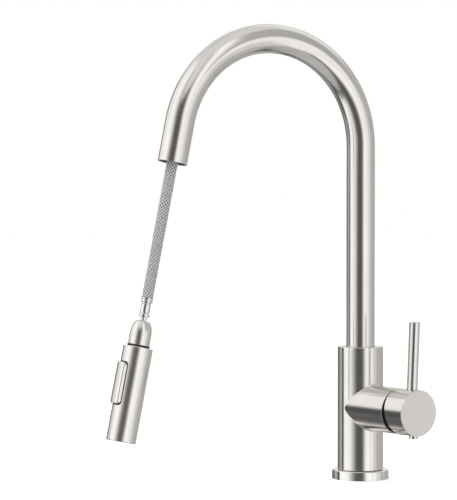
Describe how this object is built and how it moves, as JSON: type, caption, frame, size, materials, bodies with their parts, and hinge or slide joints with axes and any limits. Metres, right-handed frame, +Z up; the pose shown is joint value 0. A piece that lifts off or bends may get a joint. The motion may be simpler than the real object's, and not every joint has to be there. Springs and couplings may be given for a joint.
{
  "type": "pull down kitchen faucet",
  "caption": "Single-hole kitchen faucet with a high swivelling gooseneck, side lever valve and a two-mode spray head that draws out on a braided hose.",
  "frame": {"origin": "centre of the escutcheon's underside, on the deck, on the column's axis", "axes": "+Z up the column, +X along the valve axis to the handle (the user's right), the gooseneck reaches towards -Y, the user, swung 7.1 degrees to -X at rest"},
  "size_m": [0.1332, 0.3029, 0.5311],
  "materials": {
    "brushed_nickel": "satin warm brushed nickel, fine grain round the axis",
    "polished_nickel": "polished nickel",
    "bare_steel": "plain machined steel",
    "brass": "machined brass",
    "black_rubber": "matt black rubber",
    "dark_plastic": "fine matt dark grey",
    "light_plastic": "moulded off-white",
    "braid": "grey nylon braid in a diamond weave"
  },
  "bodies": {
    "base": {"escutcheon": "polished_nickel", "escutcheon_seal": "black_rubber", "mounting_shank": "brass", "deck_washer_rubber": "black_rubber", "deck_washer_steel": "bare_steel", "mounting_nut": "brass", "jack_screw_left": "bare_steel", "jack_screw_right": "bare_steel", "body_shell": "brushed_nickel", "waterway_core": "brass", "hot_inlet_line": "brass", "cold_inlet_line": "brass", "outlet_line": "brass", "swivel_bushing": "light_plastic", "swivel_o_ring_lower": "black_rubber", "swivel_o_ring_upper": "black_rubber", "hose_riser": "braid", "hose_foot_connector": "polished_nickel", "cartridge_seal": "black_rubber", "cartridge_body": "light_plastic", "cartridge_nut": "brass", "bonnet": "dark_plastic"},
    "spout": {"spout_tube": "brushed_nickel", "spout_retaining_ring": "bare_steel", "hose_gooseneck": "braid", "dock_insert": "dark_plastic"},
    "hose_end": {"hose_exposed": "braid", "hose_ferrule": "polished_nickel", "hose_connector": "polished_nickel", "ball_stem": "polished_nickel"},
    "spray_head": {"ball_joint_dome": "polished_nickel", "dock_o_ring": "black_rubber", "ball_seat": "light_plastic", "head_shell": "brushed_nickel", "head_core": "light_plastic", "check_valve": "light_plastic", "spray_face": "dark_plastic", "aerator": "polished_nickel", "flow_plate": "light_plastic", "toggle_pin": "bare_steel"},
    "toggle": {"toggle_button": "brushed_nickel"},
    "diverter": {"diverter_plunger": "light_plastic"},
    "valve_stem": {"cartridge_stem": "bare_steel"},
    "handle": {"handle_hub": "brushed_nickel", "hub_insert": "bare_steel", "handle_pivot_pin": "bare_steel", "handle_set_screw": "bare_steel", "handle_screw_plug": "brushed_nickel", "lever_rod": "brushed_nickel"}
  },
  "joints": [
    {"name": "spout_swivel", "type": "hinge", "parent": "base", "child": "spout", "pos_m": [0, 0, 0.11], "axis": [0, 0, 1], "continuous": true},
    {"name": "pull_out", "type": "slide", "parent": "spout", "child": "hose_end", "axis": [-0.0253, -0.2029, -0.9789], "range_m": [-0.175, 0.035], "deforming": ["hose_exposed"]},
    {"name": "head_spin", "type": "hinge", "parent": "hose_end", "child": "spray_head", "pos_m": [-0.02994, -0.24041, 0.15224], "axis": [-0.0253, -0.2029, -0.9789], "continuous": true},
    {"name": "toggle_rock", "type": "hinge", "parent": "spray_head", "child": "toggle", "pos_m": [-0.03236, -0.25979, 0.10473], "axis": [0.9923, -0.1236, 0], "range_deg": [-4, 4]},
    {"name": "diverter_slide", "type": "slide", "parent": "spray_head", "child": "diverter", "axis": [0.121, 0.9714, -0.2045], "range_m": [-0.0007, 0.0007]},
    {"name": "handle_temperature", "type": "hinge", "parent": "base", "child": "valve_stem", "pos_m": [0.055, 0, 0.0707], "axis": [1, 0, 0], "range_deg": [-45, 45]},
    {"name": "handle_flow", "type": "hinge", "parent": "valve_stem", "child": "handle", "pos_m": [0.068, 0, 0.0707], "axis": [0, 1, 0], "range_deg": [0, 19]}
  ],
  "couplings": [
    {"joint": "diverter_slide", "follows": "toggle_rock", "m_per_rad": 0.009}
  ]
}
